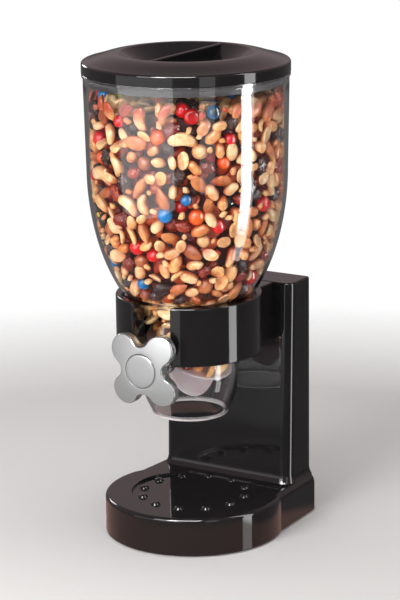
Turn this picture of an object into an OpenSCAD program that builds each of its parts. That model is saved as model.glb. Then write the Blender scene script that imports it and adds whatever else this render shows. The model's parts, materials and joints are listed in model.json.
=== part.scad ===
// Countertop cereal dispenser: a clear bell hopper stands in an open collar on a column, and a
// knob turns a soft paddle wheel in the hopper's neck, which drops one portion through the spout.
// The knob faces -Y, the column stands at +Y, and the table is z = 0.

/* [Heights] */
// Height of the hopper's rim above the table
rim_z = 388; // [384:0.5:392]
// Height of the top of the collar and the column
seat_z = 206.2; // [205:0.1:208]
// Height of the wheel's shaft
shaft_z = 156; // [155:0.5:157]
// Height of the spout's mouth
mouth_z = 103.5; // [101:0.5:105]

/* [Hopper] */
// Outer radius at the rim
rim_r = 83.3; // [82.5:0.1:83.5]
// Outer radius where the bell starts to close
belly_r = 81.7; // [80:0.1:82.5]
// Height where the bell starts to close
belly_z = 310; // [300:1:320]
// Outer radius of the neck that holds the wheel
neck_r = 41; // [40.8:0.1:41.2]
// Outer radius of the spout's mouth
mouth_r = 30; // [28:0.5:32]
// Wall thickness
hopper_wall = 2.2; // [2:0.1:2.2]

/* [Lid] */
// Outer radius of the lid
lid_r = 84.4; // [84.4:0.1:86]
// Height of the lid's side
lid_side = 9.3; // [8.5:0.1:11]
// Rise of the domed top above the side
lid_dome = 6.7; // [5:0.1:8]
// Radius of the round finger recess
grip_r = 53; // [48:0.5:56]
// Thickness of the bar across the recess
grip_bar = 3.2; // [2.5:0.1:5]

/* [Wheel and knob] */
// Radius of the paddle wheel
wheel_r = 38.4; // [36:0.2:38.4]
// Number of vanes
vane_count = 8; // [6:1:8]
// Thickness of a vane
vane_t = 2.4; // [1.6:0.1:3]
// Angle of the first vane above +X at rest
vane_angle = 16; // [10:1:20]
// Distance from the hopper's axis to the front of the knob
knob_front = 75.5; // [75:0.5:78]
// Radius to the tip of a knob lobe
knob_r = 36; // [34:0.5:38]
// Turn of the knob at rest, from lobes on the diagonals
knob_angle = 3; // [0:1:10]

/* [Collar] */
// Outer radius of the collar
collar_r = 60.2; // [59.5:0.1:61]
// Radius of the collar's bore
collar_bore = 43.5; // [43:0.1:44]
// Height of the collar
collar_h = 48.6; // [46:0.2:50]
// Width of the front slot that the knob's hub passes
slot_w = 35; // [32:0.2:36]
// Width of the block that joins the collar to the column
bracket_w = 90; // [80:1:96]

/* [Column] */
// Width of the column
column_w = 124; // [120:1:126]
// Distance from the hopper's axis to the column's front at the top
column_front = 59.8; // [59:0.1:61]
// Distance from the hopper's axis to the column's back
column_back = 93; // [91:0.5:93]
// How far the front leans forward at the foot
column_lean = 4.5; // [2:0.5:5]
// Distance from the hopper's axis to the seam with the rear cover
seam_y = 81; // [80:0.5:82]

/* [Base] */
// Radius of the round front of the base
base_r = 74.3; // [72:0.1:76]
// Distance from the hopper's axis back to the centre of that round
base_y = 4; // [2:0.5:6]
// Height of the base
base_h = 32.4; // [30:0.2:34]
// Width of the tapered rear part at its back
base_w = 134; // [132:1:136]
// Distance from the hopper's axis to the back of the base
base_back = 95; // [94:0.5:97]
// Radius of the shallow dish that a bowl stands in
dish_r = 52; // [48:0.5:54]
// Number of pips round the dish
pip_count = 12; // [8:1:16]

/* [Hidden] */
$fn = 96;

wall = 2.6;                    // moulded shell
gap = 0.05;                    // running fit and shut line
eps = 0.1;                     // overshoot of a cut
slice = 0.1;                   // thin level that a hull starts from
mid_y = (base_back - lid_r) / 2;    // the origin is midway between lid front and base back

foot_lift = 1;                 // underside of the base above the table
foot_r = 8;
recess = 1.2;                  // depth of the recesses for the feet and the screw heads
rear_corner = 5;
base_taper = 4.2;              // spread of each side of the rear part towards the front
plate_t = 2.4;
dish_depth = 2;
pip_r = 4;
pip_h = 2.4;
pip_ring = dish_r - 8.2;

shoulder_r = 55.4;             // bell meets its shoulder
shoulder_z = seat_z + 1.8;
bell_drop = (belly_z - shoulder_z) / sqrt(1 - pow(shoulder_r / belly_r, 2));
seat_depth = 7.4;               // conical seat for the shoulder, in the top of the collar
neck_top = seat_z - 12;
neck_low = mouth_z + 36.5;
spout_run = neck_low - mouth_z;
spout_in = neck_r - mouth_r;
spout_arc = (spout_in * spout_in + spout_run * spout_run) / (2 * spout_in);
bead_h = 2.4;
bead_r = rim_r + 0.9;

bush_r = 8;
bush_flange_r = 10.5;
boss_r = 11.5;
boss_end = 48;
rear_bush_r = 6;
rear_boss_r = 8.5;
rear_face = 34.5;
rear_blind = 39;
journal_r = 5;
tip_r = 3;
tip_end = 38.4;
hex_r = 4.9;
hub_r = 8;
hub_half = 33;
vane_half = 36;                // half width of a vane along the shaft
sleeve_r = 10.5;

lobe_r = 12;                   // round end of a knob lobe
waist_r = 19.5;
knob_t = 6.5;
knob_sweep = 5;                // lobe tips lie this far behind the front
knob_back = knob_front - knob_sweep - knob_t;
knob_hub_r = 11;
knob_hub_back = 51.5;
cap_r = 14;
cap_t = 3.5;
screw_r = 2;

column_corner = 9;
column_rear_corner = 3;
foot_flare = 2.4;
foot_band = 7;

post_r = 4.4;
pilot_r = 1.6;
base_screw_at = [[18, -57], [57, 34], [24, 86]];
foot_at = [[42, -36], [55, 80]];
column_screw_at = [[50, 61.5], [20, 61.5]];
rear_screw_x = 48;
rear_screw_z = [62, 125, 190];
collar_screw_x = 30;
collar_screw_z = [seat_z - 36, seat_z - 12];

// ---- helpers ----

// Moves parts from the hopper's axis to the origin
module centred() {
    translate([0, -mid_y, 0]) children();
}

// Places a part that was drawn along +Z so that it points out of the front, on the shaft's axis
module on_shaft() {
    centred() translate([0, 0, shaft_z]) rotate([90, 0, 0]) children();
}

module both_sides() {
    children();
    mirror([1, 0, 0]) children();
}

// Pan-head screw with a cross recess: its head stands on z = 0 and its shank hangs below
module screw(length, shank = 1.5, head = 3.6, head_h = 2.3) {
    difference() {
        union() {
            cylinder(r = head, h = head_h, $fn = 48);
            translate([0, 0, -length]) cylinder(r = shank, h = length + eps, $fn = 32);
        }
        for (turn = [0, 90]) {
            rotate(turn) translate([-head * 0.6, -0.45, head_h - 1.2]) cube([head * 1.2, 0.9, 2]);
        }
    }
}

function bezier(a, b, c, d, n) = [for (i = [0:n])
    let (t = i / n, s = 1 - t) s*s*s * a + 3*s*s*t * b + 3*s*t*t * c + t*t*t * d];

// Moves each point of an open path to the left of its direction by t
function beside(path, t) = [for (i = [0:len(path) - 1])
    let (a = path[max(i - 1, 0)], b = path[min(i + 1, len(path) - 1)], v = (b - a) / norm(b - a))
    path[i] + t * [-v[1], v[0]]];

function turned(path) = [for (i = [len(path) - 1:-1:0]) path[i]];

// ---- base ----

module base_outline(inset) {
    rear_r = rear_corner - inset;
    rear_y = base_back - rear_corner;
    half = base_w / 2 - inset;
    translate([0, base_y]) circle(r = base_r - inset);
    polygon([[-half - base_taper, base_y], [half + base_taper, base_y],
        [half, rear_y], [-half, rear_y]]);
    translate([-half + rear_r, base_y]) square([2 * (half - rear_r), base_back - inset - base_y]);
    for (side = [-1, 1]) {
        translate([side * (half - rear_r), rear_y]) circle(r = rear_r);
    }
}

module base_shell() {
    floor_z = base_h - dish_depth;
    post_low = foot_lift + plate_t + gap;
    color([0.03, 0.03, 0.035]) centred() difference() {
        union() {
            difference() {
                translate([0, 0, foot_lift]) linear_extrude(base_h - foot_lift) base_outline(0);
                translate([0, 0, -eps]) linear_extrude(base_h - wall - dish_depth + eps) base_outline(wall);
                translate([0, base_y, floor_z]) cylinder(r = dish_r, h = dish_depth + eps);
            }
            for (i = [0:pip_count - 1]) {
                translate([0, base_y, floor_z]) rotate((i + 0.5) * 360 / pip_count)
                    translate([pip_ring, 0, -eps])
                        cylinder(r1 = pip_r, r2 = pip_r * 0.6, h = pip_h + eps, $fn = 32);
            }
            both_sides() for (p = base_screw_at) {
                translate([p[0], p[1], post_low])
                    cylinder(r = post_r, h = floor_z - wall / 2 - post_low, $fn = 32);
            }
        }
        both_sides() for (p = base_screw_at) {
            translate([p[0], p[1], 0]) cylinder(r = pilot_r, h = 16, $fn = 32);
        }
        both_sides() for (p = column_screw_at) {
            translate([p[0], p[1], base_h - 8]) cylinder(r = screw_r + 0.2, h = 10, $fn = 32);
        }
    }
}

module base_bottom_plate() {
    color([0.07, 0.07, 0.075]) centred() difference() {
        translate([0, 0, foot_lift]) linear_extrude(plate_t) base_outline(wall + eps);
        both_sides() {
            for (p = base_screw_at) {
                translate([p[0], p[1], 0]) cylinder(r = 1.8, h = 6, $fn = 32);
                translate([p[0], p[1], 0]) cylinder(r = 4, h = foot_lift + recess, $fn = 32);
            }
            for (p = foot_at) {
                translate([p[0], p[1], 0]) cylinder(r = foot_r + gap, h = foot_lift + recess);
            }
        }
    }
}

module base_screws() {
    color([0.62, 0.63, 0.65]) centred() both_sides() for (p = base_screw_at) {
        translate([p[0], p[1], foot_lift + recess - gap]) mirror([0, 0, 1]) screw(12, head_h = 1.6);
    }
}

module rubber_feet() {
    color([0.12, 0.12, 0.12]) centred() both_sides() for (p = foot_at) {
        translate([p[0], p[1], 0]) cylinder(r = foot_r, h = foot_lift + recess - 2 * gap);
    }
}

// ---- column ----

// One thin level of the column, grown by g all round
module column_level(z, lean, g) {
    half = column_w / 2;
    for (side = [-1, 1]) {
        translate([side * (half - column_corner), column_front - lean + column_corner, z])
            cylinder(r = column_corner + g, h = slice, $fn = 32);
        translate([side * (half - column_rear_corner), column_back - column_rear_corner, z])
            cylinder(r = column_rear_corner + g, h = slice, $fn = 32);
    }
}

// Distance from the hopper's axis to the leaning front at height z
function front_at(z) = column_front - column_lean * (seat_z - z) / (seat_z - base_h);

module column_block(g, top) {
    hull() {
        column_level(base_h + gap, column_lean, g);
        column_level(top - slice, 0, g);
    }
}

// Flared band at the foot of the column
module column_foot() {
    hull() {
        column_level(base_h + gap, column_lean, foot_flare);
        column_level(base_h + foot_band, column_lean, 0);
    }
}

// Hollow column, before it is split at the seam
module column_skin() {
    difference() {
        union() {
            column_block(0, seat_z);
            column_foot();
        }
        translate([0, 0, -eps]) column_block(-wall, seat_z - wall);
    }
}

module column_shell() {
    color([0.03, 0.03, 0.035]) centred() difference() {
        union() {
            intersection() {
                column_skin();
                translate([-100, 0, 0]) cube([200, seam_y - gap, 300]);
            }
            both_sides() {
                for (p = column_screw_at) {
                    translate([p[0], p[1], base_h + gap]) cylinder(r = post_r, h = 20, $fn = 32);
                }
                for (z = rear_screw_z) {
                    translate([rear_screw_x, column_back - wall - gap, z]) rotate([90, 0, 0])
                        cylinder(r = post_r, h = column_back - 1.4 * wall - front_at(z), $fn = 32);
                }
            }
        }
        both_sides() {
            for (p = column_screw_at) {
                translate([p[0], p[1], base_h - eps]) cylinder(r = screw_r - 0.2, h = 16, $fn = 32);
            }
            for (z = rear_screw_z) {
                translate([rear_screw_x, column_back, z]) rotate([90, 0, 0])
                    cylinder(r = pilot_r, h = 18, $fn = 32);
            }
            for (z = collar_screw_z) {
                translate([collar_screw_x, column_front + 8, z]) rotate([90, 0, 0])
                    cylinder(r = screw_r + 0.2, h = 16, $fn = 32);
            }
        }
    }
}

module column_rear_cover() {
    color([0.035, 0.035, 0.04]) centred() difference() {
        intersection() {
            column_skin();
            translate([-100, seam_y, 0]) cube([200, 40, 300]);
        }
        both_sides() for (z = rear_screw_z) {
            translate([rear_screw_x, column_back + eps, z]) rotate([90, 0, 0]) {
                cylinder(r = screw_r, h = 8, $fn = 32);
                cylinder(r = 4.2, h = 1.4 + eps, $fn = 48);
            }
        }
    }
}

module column_foot_screws() {
    color([0.62, 0.63, 0.65]) centred() both_sides() for (p = column_screw_at) {
        translate([p[0], p[1], base_h - wall - dish_depth - gap]) mirror([0, 0, 1])
            screw(16, shank = screw_r - 0.25);
    }
}

module rear_cover_screws() {
    color([0.25, 0.25, 0.27]) centred() both_sides() for (z = rear_screw_z) {
        translate([rear_screw_x, column_back - 1.35, z]) rotate([-90, 0, 0]) screw(13);
    }
}

// ---- collar ----

module collar_body() {
    low = seat_z - collar_h;
    slot_wall = slot_w / 2 + wall;
    difference() {
        union() {
            translate([0, 0, low]) cylinder(r = collar_r, h = collar_h);
            translate([-bracket_w / 2, 0, low]) cube([bracket_w, column_front + 1, collar_h]);
        }
        translate([0, 0, low - eps]) cylinder(r = collar_bore, h = collar_h + 1);
        translate([0, 0, seat_z - seat_depth])
            cylinder(r1 = collar_bore - 0.1, r2 = shoulder_r - 0.4, h = seat_depth + eps);
        translate([-slot_w / 2, -collar_r - 1, low - 1]) cube([slot_w, collar_r, collar_h + 2]);
        // hollow ring, open below
        difference() {
            translate([0, 0, low - eps]) cylinder(r = collar_r - wall, h = collar_h - 7.5);
            translate([0, 0, low - 1]) cylinder(r = collar_bore + wall, h = collar_h);
            translate([-slot_wall, -collar_r, low - 1]) cube([2 * slot_wall, collar_r, collar_h]);
            translate([-collar_r, 30, low - 1]) cube([2 * collar_r, collar_r, collar_h]);
        }
        // hollow bracket, open below
        difference() {
            translate([-bracket_w / 2 + wall, 44, low - eps])
                cube([bracket_w - 2 * wall, column_front - 2.5 * wall - 44, collar_h - 7.5]);
            translate([0, 0, low - 1]) cylinder(r = collar_bore + wall, h = collar_h);
            both_sides() for (z = collar_screw_z) {
                translate([collar_screw_x, column_front, z]) rotate([90, 0, 0])
                    cylinder(r = post_r + 0.6, h = 20, $fn = 32);
            }
        }
    }
}

module collar() {
    color([0.03, 0.03, 0.035]) centred() difference() {
        collar_body();
        column_block(gap, seat_z + 1);
        both_sides() for (z = collar_screw_z) {
            translate([collar_screw_x, column_front + 1, z]) rotate([90, 0, 0])
                cylinder(r = screw_r - 0.2, h = 16, $fn = 32);
        }
    }
}

module collar_screws() {
    color([0.62, 0.63, 0.65]) centred() both_sides() for (z = collar_screw_z) {
        translate([collar_screw_x, column_front + wall + gap, z]) rotate([-90, 0, 0])
            screw(14, shank = screw_r - 0.25);
    }
}

// ---- hopper ----

function bell_r(z) = belly_r * sqrt(1 - pow((belly_z - z) / bell_drop, 2));

// Outer line of the hopper, from the spout's mouth up to the rim
hopper_line = concat(
    [for (i = [0:8]) let (z = mouth_z + spout_run * i / 8, d = neck_low - z)
        [neck_r - spout_arc + sqrt(spout_arc * spout_arc - d * d), z]],
    bezier([neck_r, neck_top], [neck_r, seat_z - 4.5], [shoulder_r - 4, seat_z - 4.2],
        [shoulder_r, shoulder_z], 8),
    [for (i = [1:20]) let (z = shoulder_z + (belly_z - shoulder_z) * i / 20) [bell_r(z), z]],
    [[rim_r, rim_z]]);

module hopper() {
    inner = beside(hopper_line, hopper_wall);
    color([0.86, 0.9, 0.92, 0.35]) centred() difference() {
        union() {
            rotate_extrude($fn = 128) polygon(concat(hopper_line, turned(inner)));
            difference() {
                translate([0, 0, rim_z - bead_h]) cylinder(r = bead_r, h = bead_h, $fn = 128);
                translate([0, 0, rim_z - bead_h - eps]) cylinder(r = rim_r - 1, h = bead_h + 1, $fn = 128);
            }
            translate([0, 0, shaft_z]) rotate([90, 0, 0])
                translate([0, 0, neck_r - 2]) cylinder(r = boss_r, h = boss_end - neck_r + 2);
            translate([0, 0, shaft_z]) rotate([-90, 0, 0])
                translate([0, 0, rear_face]) cylinder(r = rear_boss_r, h = neck_r - 1.5 - rear_face);
        }
        translate([0, 0, shaft_z]) rotate([90, 0, 0])
            translate([0, 0, 30]) cylinder(r = bush_r + gap, h = boss_end - 29);
        translate([0, 0, shaft_z]) rotate([-90, 0, 0])
            translate([0, 0, 30]) cylinder(r = rear_bush_r + gap, h = rear_blind - 30);
    }
}

module front_bearing() {
    inner_end = neck_r - hopper_wall;
    color([0.05, 0.05, 0.055]) on_shaft() difference() {
        union() {
            translate([0, 0, inner_end]) cylinder(r = bush_r, h = boss_end - inner_end + eps);
            translate([0, 0, boss_end + gap]) cylinder(r = bush_flange_r, h = 2);
        }
        translate([0, 0, inner_end - eps]) cylinder(r = journal_r + gap, h = 20);
    }
}

module shaft_seal() {
    inner_end = neck_r - hopper_wall;
    color([0.75, 0.76, 0.76]) on_shaft() difference() {
        translate([0, 0, inner_end - 2]) cylinder(r = bush_r - 0.4, h = 2 - gap);
        translate([0, 0, inner_end - 3]) cylinder(r = journal_r + gap, h = 4);
    }
}

module rear_bearing() {
    color([0.05, 0.05, 0.055]) on_shaft() difference() {
        translate([0, 0, -rear_blind + gap]) cylinder(r = rear_bush_r, h = rear_blind - rear_face - gap);
        translate([0, 0, -rear_blind - eps]) cylinder(r = tip_r + gap, h = 10);
    }
}

// ---- lid ----

module lid_shell() {
    side_top = rim_z + gap + lid_side;
    crown = side_top + lid_dome;
    floor_z = crown - 11.5;
    dome = bezier([grip_r + 2, crown], [grip_r + 12, crown - 0.4], [lid_r - 12, side_top + 2.6],
        [lid_r - 1.6, side_top], 8);
    top_line = concat([[0, floor_z], [grip_r - 15, floor_z], [grip_r - 0.6, crown - 1]], dome,
        [[lid_r, side_top - 1.8], [lid_r, rim_z + gap]]);
    under = beside(top_line, -wall);
    color([0.03, 0.03, 0.035]) centred() {
        rotate_extrude($fn = 128) polygon(concat(top_line,
            [[lid_r - wall, rim_z + gap]], [for (i = [len(under) - 2:-1:1]) under[i]],
            [[0, floor_z - wall]]));
        intersection() {
            translate([-grip_bar / 2, -grip_r, floor_z - 1])
                cube([grip_bar, 2 * grip_r, crown - floor_z + 1]);
            cylinder(r = grip_r - 0.6, h = crown);
        }
    }
}

module lid_plug() {
    plug_r = rim_r - hopper_wall - 1.4;
    top = rim_z + 1.6;
    low = rim_z - 8;
    color([0.05, 0.05, 0.055]) centred() difference() {
        union() {
            translate([0, 0, low]) cylinder(r = plug_r, h = top - low, $fn = 128);
            translate([0, 0, rim_z + 0.3])
                cylinder(r = lid_r - wall - gap, h = top - rim_z - 0.3, $fn = 128);
        }
        translate([0, 0, low - eps]) cylinder(r = plug_r - 2.4, h = top - 2.2 - low, $fn = 128);
        difference() {
            translate([0, 0, rim_z - 5]) cylinder(r = plug_r + 1, h = 3, $fn = 128);
            translate([0, 0, rim_z - 6]) cylinder(r = plug_r - 1.2, h = 5, $fn = 128);
        }
    }
}

module lid_gasket() {
    plug_r = rim_r - hopper_wall - 1.4;
    color([0.2, 0.2, 0.21]) centred() difference() {
        translate([0, 0, rim_z - 5 + gap]) cylinder(r = plug_r + 0.9, h = 3 - 2 * gap, $fn = 128);
        translate([0, 0, rim_z - 6]) cylinder(r = plug_r - 1.2 + gap, h = 5, $fn = 128);
    }
}

// ---- paddle wheel ----

module wheel_hub() {
    color([0.92, 0.92, 0.9]) on_shaft() difference() {
        translate([0, 0, -hub_half]) cylinder(r = hub_r, h = 2 * hub_half);
        translate([0, 0, -hub_half - eps]) cylinder(r = hex_r + 0.06, h = 2 * hub_half + 1, $fn = 6);
    }
}

module wheel_vanes() {
    color([0.9, 0.88, 0.88, 0.7]) centred() translate([0, 0, shaft_z]) difference() {
        union() {
            rotate([90, 0, 0]) translate([0, 0, -hub_half]) cylinder(r = sleeve_r, h = 2 * hub_half);
            for (i = [0:vane_count - 1]) {
                rotate([0, -vane_angle - i * 360 / vane_count, 0]) intersection() {
                    translate([0, 0, -vane_t / 2]) cylinder(r = wheel_r, h = vane_t);
                    translate([sleeve_r - 1.5, -vane_half, -vane_t])
                        cube([wheel_r, 2 * vane_half, 2 * vane_t]);
                }
            }
        }
        rotate([90, 0, 0]) translate([0, 0, -hub_half - 1]) cylinder(r = hub_r + gap, h = 2 * hub_half + 2);
    }
}

module drive_shaft() {
    hex_end = knob_front - 6.6;
    color([0.72, 0.73, 0.75]) on_shaft() difference() {
        union() {
            translate([0, 0, knob_hub_back]) cylinder(r = hex_r, h = hex_end - knob_hub_back, $fn = 6);
            translate([0, 0, hub_half + 1.5]) cylinder(r = journal_r, h = knob_hub_back - hub_half - 1.5);
            translate([0, 0, -hub_half]) cylinder(r = hex_r, h = 2 * hub_half + 1.6, $fn = 6);
            translate([0, 0, -tip_end]) cylinder(r = tip_r, h = tip_end - hub_half + eps);
        }
        translate([0, 0, hex_end - 14]) cylinder(r = screw_r, h = 15, $fn = 32);
    }
}

// ---- knob ----

// Four round lobes joined by hollow waists. The hollows' circles are a gap larger than tangent, so
// that they cross the lobes' circles
module knob_outline() {
    reach = knob_r - lobe_r;
    hollow = (reach * reach + waist_r * waist_r - sqrt(2) * reach * waist_r - lobe_r * lobe_r)
        / (2 * lobe_r - 2 * waist_r + sqrt(2) * reach);
    far = waist_r + hollow;
    difference() {
        polygon([for (i = [0:7]) (i % 2 == 0 ? far : reach) * [cos(i * 45), sin(i * 45)]]);
        for (i = [0:3]) {
            rotate(i * 90) translate([far, 0]) circle(r = hollow + gap);
        }
    }
    for (i = [0:3]) {
        rotate(45 + i * 90) translate([reach, 0]) circle(r = lobe_r);
    }
}

module knob() {
    socket_end = knob_front - 6.5;
    seat = knob_front - cap_t - gap;
    color([0.74, 0.75, 0.75]) on_shaft() rotate(knob_angle) difference() {
        union() {
            intersection() {
                translate([0, 0, knob_back]) linear_extrude(20) knob_outline();
                rotate_extrude() polygon([[0, knob_back], [knob_r + 1, knob_back],
                    [knob_r + 1, knob_front - knob_sweep], [cap_r + 2, knob_front - 1.2],
                    [0, knob_front - 1.2]]);
            }
            translate([0, 0, knob_hub_back]) cylinder(r = knob_hub_r, h = knob_back - knob_hub_back + 1);
        }
        translate([0, 0, seat]) cylinder(r = cap_r + gap, h = 10);
        translate([0, 0, knob_hub_back - eps]) rotate(-knob_angle)
            cylinder(r = hex_r + 0.06, h = socket_end - knob_hub_back + eps, $fn = 6);
        translate([0, 0, socket_end - 1]) cylinder(r = screw_r + 0.1, h = 6, $fn = 32);
    }
}

module knob_cap() {
    low = knob_front - cap_t;
    color([0.76, 0.77, 0.77]) on_shaft() difference() {
        union() {
            translate([0, 0, low]) cylinder(r = cap_r, h = cap_t - 0.8);
            translate([0, 0, knob_front - 0.81]) cylinder(r1 = cap_r, r2 = cap_r - 0.8, h = 0.81);
        }
        translate([0, 0, low - eps]) cylinder(r = 5, h = 2.5);
    }
}

module knob_screw() {
    color([0.62, 0.63, 0.65]) on_shaft() translate([0, 0, knob_front - cap_t])
        screw(12, shank = screw_r - 0.05);
}

base_shell();
base_bottom_plate();
base_screws();
rubber_feet();
column_shell();
column_rear_cover();
column_foot_screws();
rear_cover_screws();
collar();
collar_screws();
hopper();
front_bearing();
shaft_seal();
rear_bearing();
lid_shell();
lid_plug();
lid_gasket();
wheel_hub();
wheel_vanes();
drive_shaft();
knob();
knob_cap();
knob_screw();
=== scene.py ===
"""Looks of a countertop cereal dispenser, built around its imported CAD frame.

The hopper stands on a vertical axis at x = 0, the knob faces -Y, the column stands at +Y and the
table is z = 0. Lengths are in millimetres until mesh_object() turns them into metres.
"""

import itertools
import json
import random
from math import asin, atan, atan2, cos, degrees, dist, exp, hypot, pi, radians, sin, sqrt, tan, tau

import bmesh
import bpy
from mathutils import Euler, Matrix, Vector, noise

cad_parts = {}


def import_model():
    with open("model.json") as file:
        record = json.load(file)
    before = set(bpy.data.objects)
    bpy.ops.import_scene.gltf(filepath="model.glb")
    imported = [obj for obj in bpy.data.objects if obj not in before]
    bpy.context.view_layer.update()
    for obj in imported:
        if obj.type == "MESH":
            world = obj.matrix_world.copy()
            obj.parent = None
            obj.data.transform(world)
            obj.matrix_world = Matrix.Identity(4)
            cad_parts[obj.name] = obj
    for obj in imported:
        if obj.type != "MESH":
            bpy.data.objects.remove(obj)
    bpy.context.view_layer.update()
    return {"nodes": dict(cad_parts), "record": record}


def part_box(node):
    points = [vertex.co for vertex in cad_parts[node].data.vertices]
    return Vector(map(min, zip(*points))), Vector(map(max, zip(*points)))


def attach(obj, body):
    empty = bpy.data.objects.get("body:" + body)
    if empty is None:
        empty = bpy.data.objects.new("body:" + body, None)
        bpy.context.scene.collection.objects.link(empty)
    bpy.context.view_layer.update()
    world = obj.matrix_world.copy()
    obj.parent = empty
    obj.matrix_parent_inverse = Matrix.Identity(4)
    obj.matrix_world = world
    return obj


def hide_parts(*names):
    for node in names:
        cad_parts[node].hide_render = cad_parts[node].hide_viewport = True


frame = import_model()

MM = 0.001
SHARP = radians(32)


def span(node, axis):
    """Lowest and highest value of a CAD node along an axis, in millimetres."""
    low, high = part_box(node)
    return low[axis] / MM, high[axis] / MM


# ---- places taken from the frame ----

X, Y, Z = 0, 1, 2
AXIS_Y = sum(span("lid_shell", Y)) / 2          # the hopper's axis
MOUTH_Z, RIM_Z = span("hopper", Z)
BASE_LOW, BASE_TOP = span("base_shell", Z)
BASE_FRONT, BASE_BACK = (v - AXIS_Y for v in span("base_shell", Y))
COLUMN_LOW, SEAT_Z = span("column_shell", Z)
SEAM_Y = span("column_rear_cover", Y)[0] - AXIS_Y
COLLAR_LOW = span("collar", Z)[0]
COLLAR_R = span("collar", X)[1]
LID_LOW, CROWN_Z = span("lid_shell", Z)
LID_R = span("lid_shell", X)[1]
KNOB_FRONT = AXIS_Y - span("knob_cap", Y)[0]
CAP_R = span("knob_cap", X)[1]
CAP_T = span("knob_cap", Y)[1] - span("knob_cap", Y)[0]
HUB_BACK = AXIS_Y - span("knob", Y)[1]
SHAFT_Z = sum(span("wheel_hub", Z)) / 2
SHAFT = Vector((0, 0, SHAFT_Z))

# ---- sizes of the design that a box doesn't give ----

WALL = 2.6
BASE_Y = 4.0                                    # the round front is centred this far behind the axis
BASE_R = BASE_Y - BASE_FRONT
REAR_HALF, REAR_TAPER = 67.0, 4.2               # half width at the back, and its growth to the front
REAR_CORNER = 5.0
CONCAVE_R = 3.0
DISH_R = 52.0
DISH_DEPTH = 2.0
PIPS = 12
PIP_RING = 43.8

COLUMN_HALF = 62.0
COLUMN_FRONT = 59.8
COLUMN_LEAN = 4.5
FRONT_CORNER = 9.0
BACK_CORNER = 3.0
FOOT_FLARE = 2.4
COLUMN_BACK = span("column_rear_cover", Y)[1] - AXIS_Y - FOOT_FLARE
FOOT_BAND = 7.0

COLLAR_BORE = 43.5
SLOT_HALF = 17.5

RIM_R = 83.3
BELLY_R, BELLY_Z = 81.7, 310.0
SHOULDER_R, SHOULDER_Z = 55.4, SEAT_Z + 1.8
BELL_DROP = (BELLY_Z - SHOULDER_Z) / sqrt(1 - (SHOULDER_R / BELLY_R) ** 2)
NECK_R, NECK_TOP, NECK_LOW = 41.0, SEAT_Z - 12, MOUTH_Z + 36.5
MOUTH_R = 30.0
BOSS_R, BOSS_END = 11.5, 48.0
GLASS_T = 2.2

GRIP_R = 53.0
GRIP_DEPTH = 11.5
GRIP_BAR = 3.2

KNOB_R, LOBE_R, WAIST_R = 36.0, 12.0, 19.5
KNOB_T, KNOB_SWEEP, KNOB_TURN = 6.5, 5.0, radians(3)
WHEEL_R, SLEEVE_R, HUB_HALF = 38.4, 10.5, 33.0
HUB_BORE = 8.05
VANES, VANE_T, VANE_ANGLE = 8, 2.4, radians(16)
VANE_HALF = 36.0

FILL_Z, CORE_LOW = 376.0, 214.0                 # top and bottom of the heap of food

VIEW_TURN, VIEW_RISE, VIEW_ROLL = radians(32), radians(14.34), radians(-0.69)
VIEW_AHEAD = Vector((-sin(VIEW_TURN) * cos(VIEW_RISE), cos(VIEW_TURN) * cos(VIEW_RISE),
                     -sin(VIEW_RISE)))
VIEW_DISTANCE = 2.0016
VIEW_AIM = Vector((0.00767, -0.0005, 0.1983))
LENS = 146.13


# ---- mesh helpers ----

def link(name, data):
    """A new object in the scene."""
    made = bpy.data.objects.new(name, data)
    bpy.context.scene.collection.objects.link(made)
    return made


def as_mesh(name, bm):
    mesh = bpy.data.meshes.new(name)
    bm.to_mesh(mesh)
    bm.free()
    return mesh


def mesh_object(name, bm, body, slot, stands_for=(), surface=None):
    """Turns a bmesh in millimetres on the hopper's axis into a piece that rides on a body."""
    bmesh.ops.remove_doubles(bm, verts=bm.verts, dist=1e-4)
    bmesh.ops.recalc_face_normals(bm, faces=bm.faces)
    for face in bm.faces:
        face.smooth = True
    for edge in bm.edges:
        edge.smooth = edge.calc_face_angle(0) < SHARP
    bmesh.ops.transform(bm, verts=bm.verts, matrix=Matrix.Scale(MM, 4) @ Matrix.Translation((0, AXIS_Y, 0)))
    piece = link(name, as_mesh(name, bm))
    piece.data.materials.append(surface or MATERIALS[slot])
    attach(piece, body)
    if stands_for:
        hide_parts(*stands_for)
    return piece


def weighted(piece):
    """Lets the large faces set the normals, so that flats next to a fillet stay flat."""
    modifier = piece.modifiers.new("weighted normals", "WEIGHTED_NORMAL")
    modifier.keep_sharp = True
    modifier.weight = 80


def loft(bm, loops):
    """Skins closed loops of equal length with quads, and closes each end with a fan."""
    rows = [[bm.verts.new(p) for p in loop] for loop in loops]
    count = len(rows[0])
    for low, high in zip(rows, rows[1:]):
        for i in range(count):
            j = (i + 1) % count
            bm.faces.new((low[i], low[j], high[j], high[i]))
    for row in (rows[0], rows[-1]):
        middle = bm.verts.new(sum((v.co for v in row), Vector()) / count)
        for i in range(count):
            bm.faces.new((row[i], row[(i + 1) % count], middle))


def arc(centre, radius, start, end, steps):
    """Points on an arc, angles in degrees."""
    turn = [radians(start + (end - start) * i / steps) for i in range(steps + 1)]
    return [(centre[0] + radius * cos(t), centre[1] + radius * sin(t)) for t in turn]


def outline(arcs, inset=0.0):
    """Closed outline through (centre, radius, start, end, steps) arcs, moved inwards by inset.
    An arc that runs clockwise is hollow, so its radius grows."""
    points = []
    for centre, radius, start, end, steps in arcs:
        r = radius - inset if end > start else radius + inset
        points += arc(centre, max(r, 0.01), start, end, steps)
    return points


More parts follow.
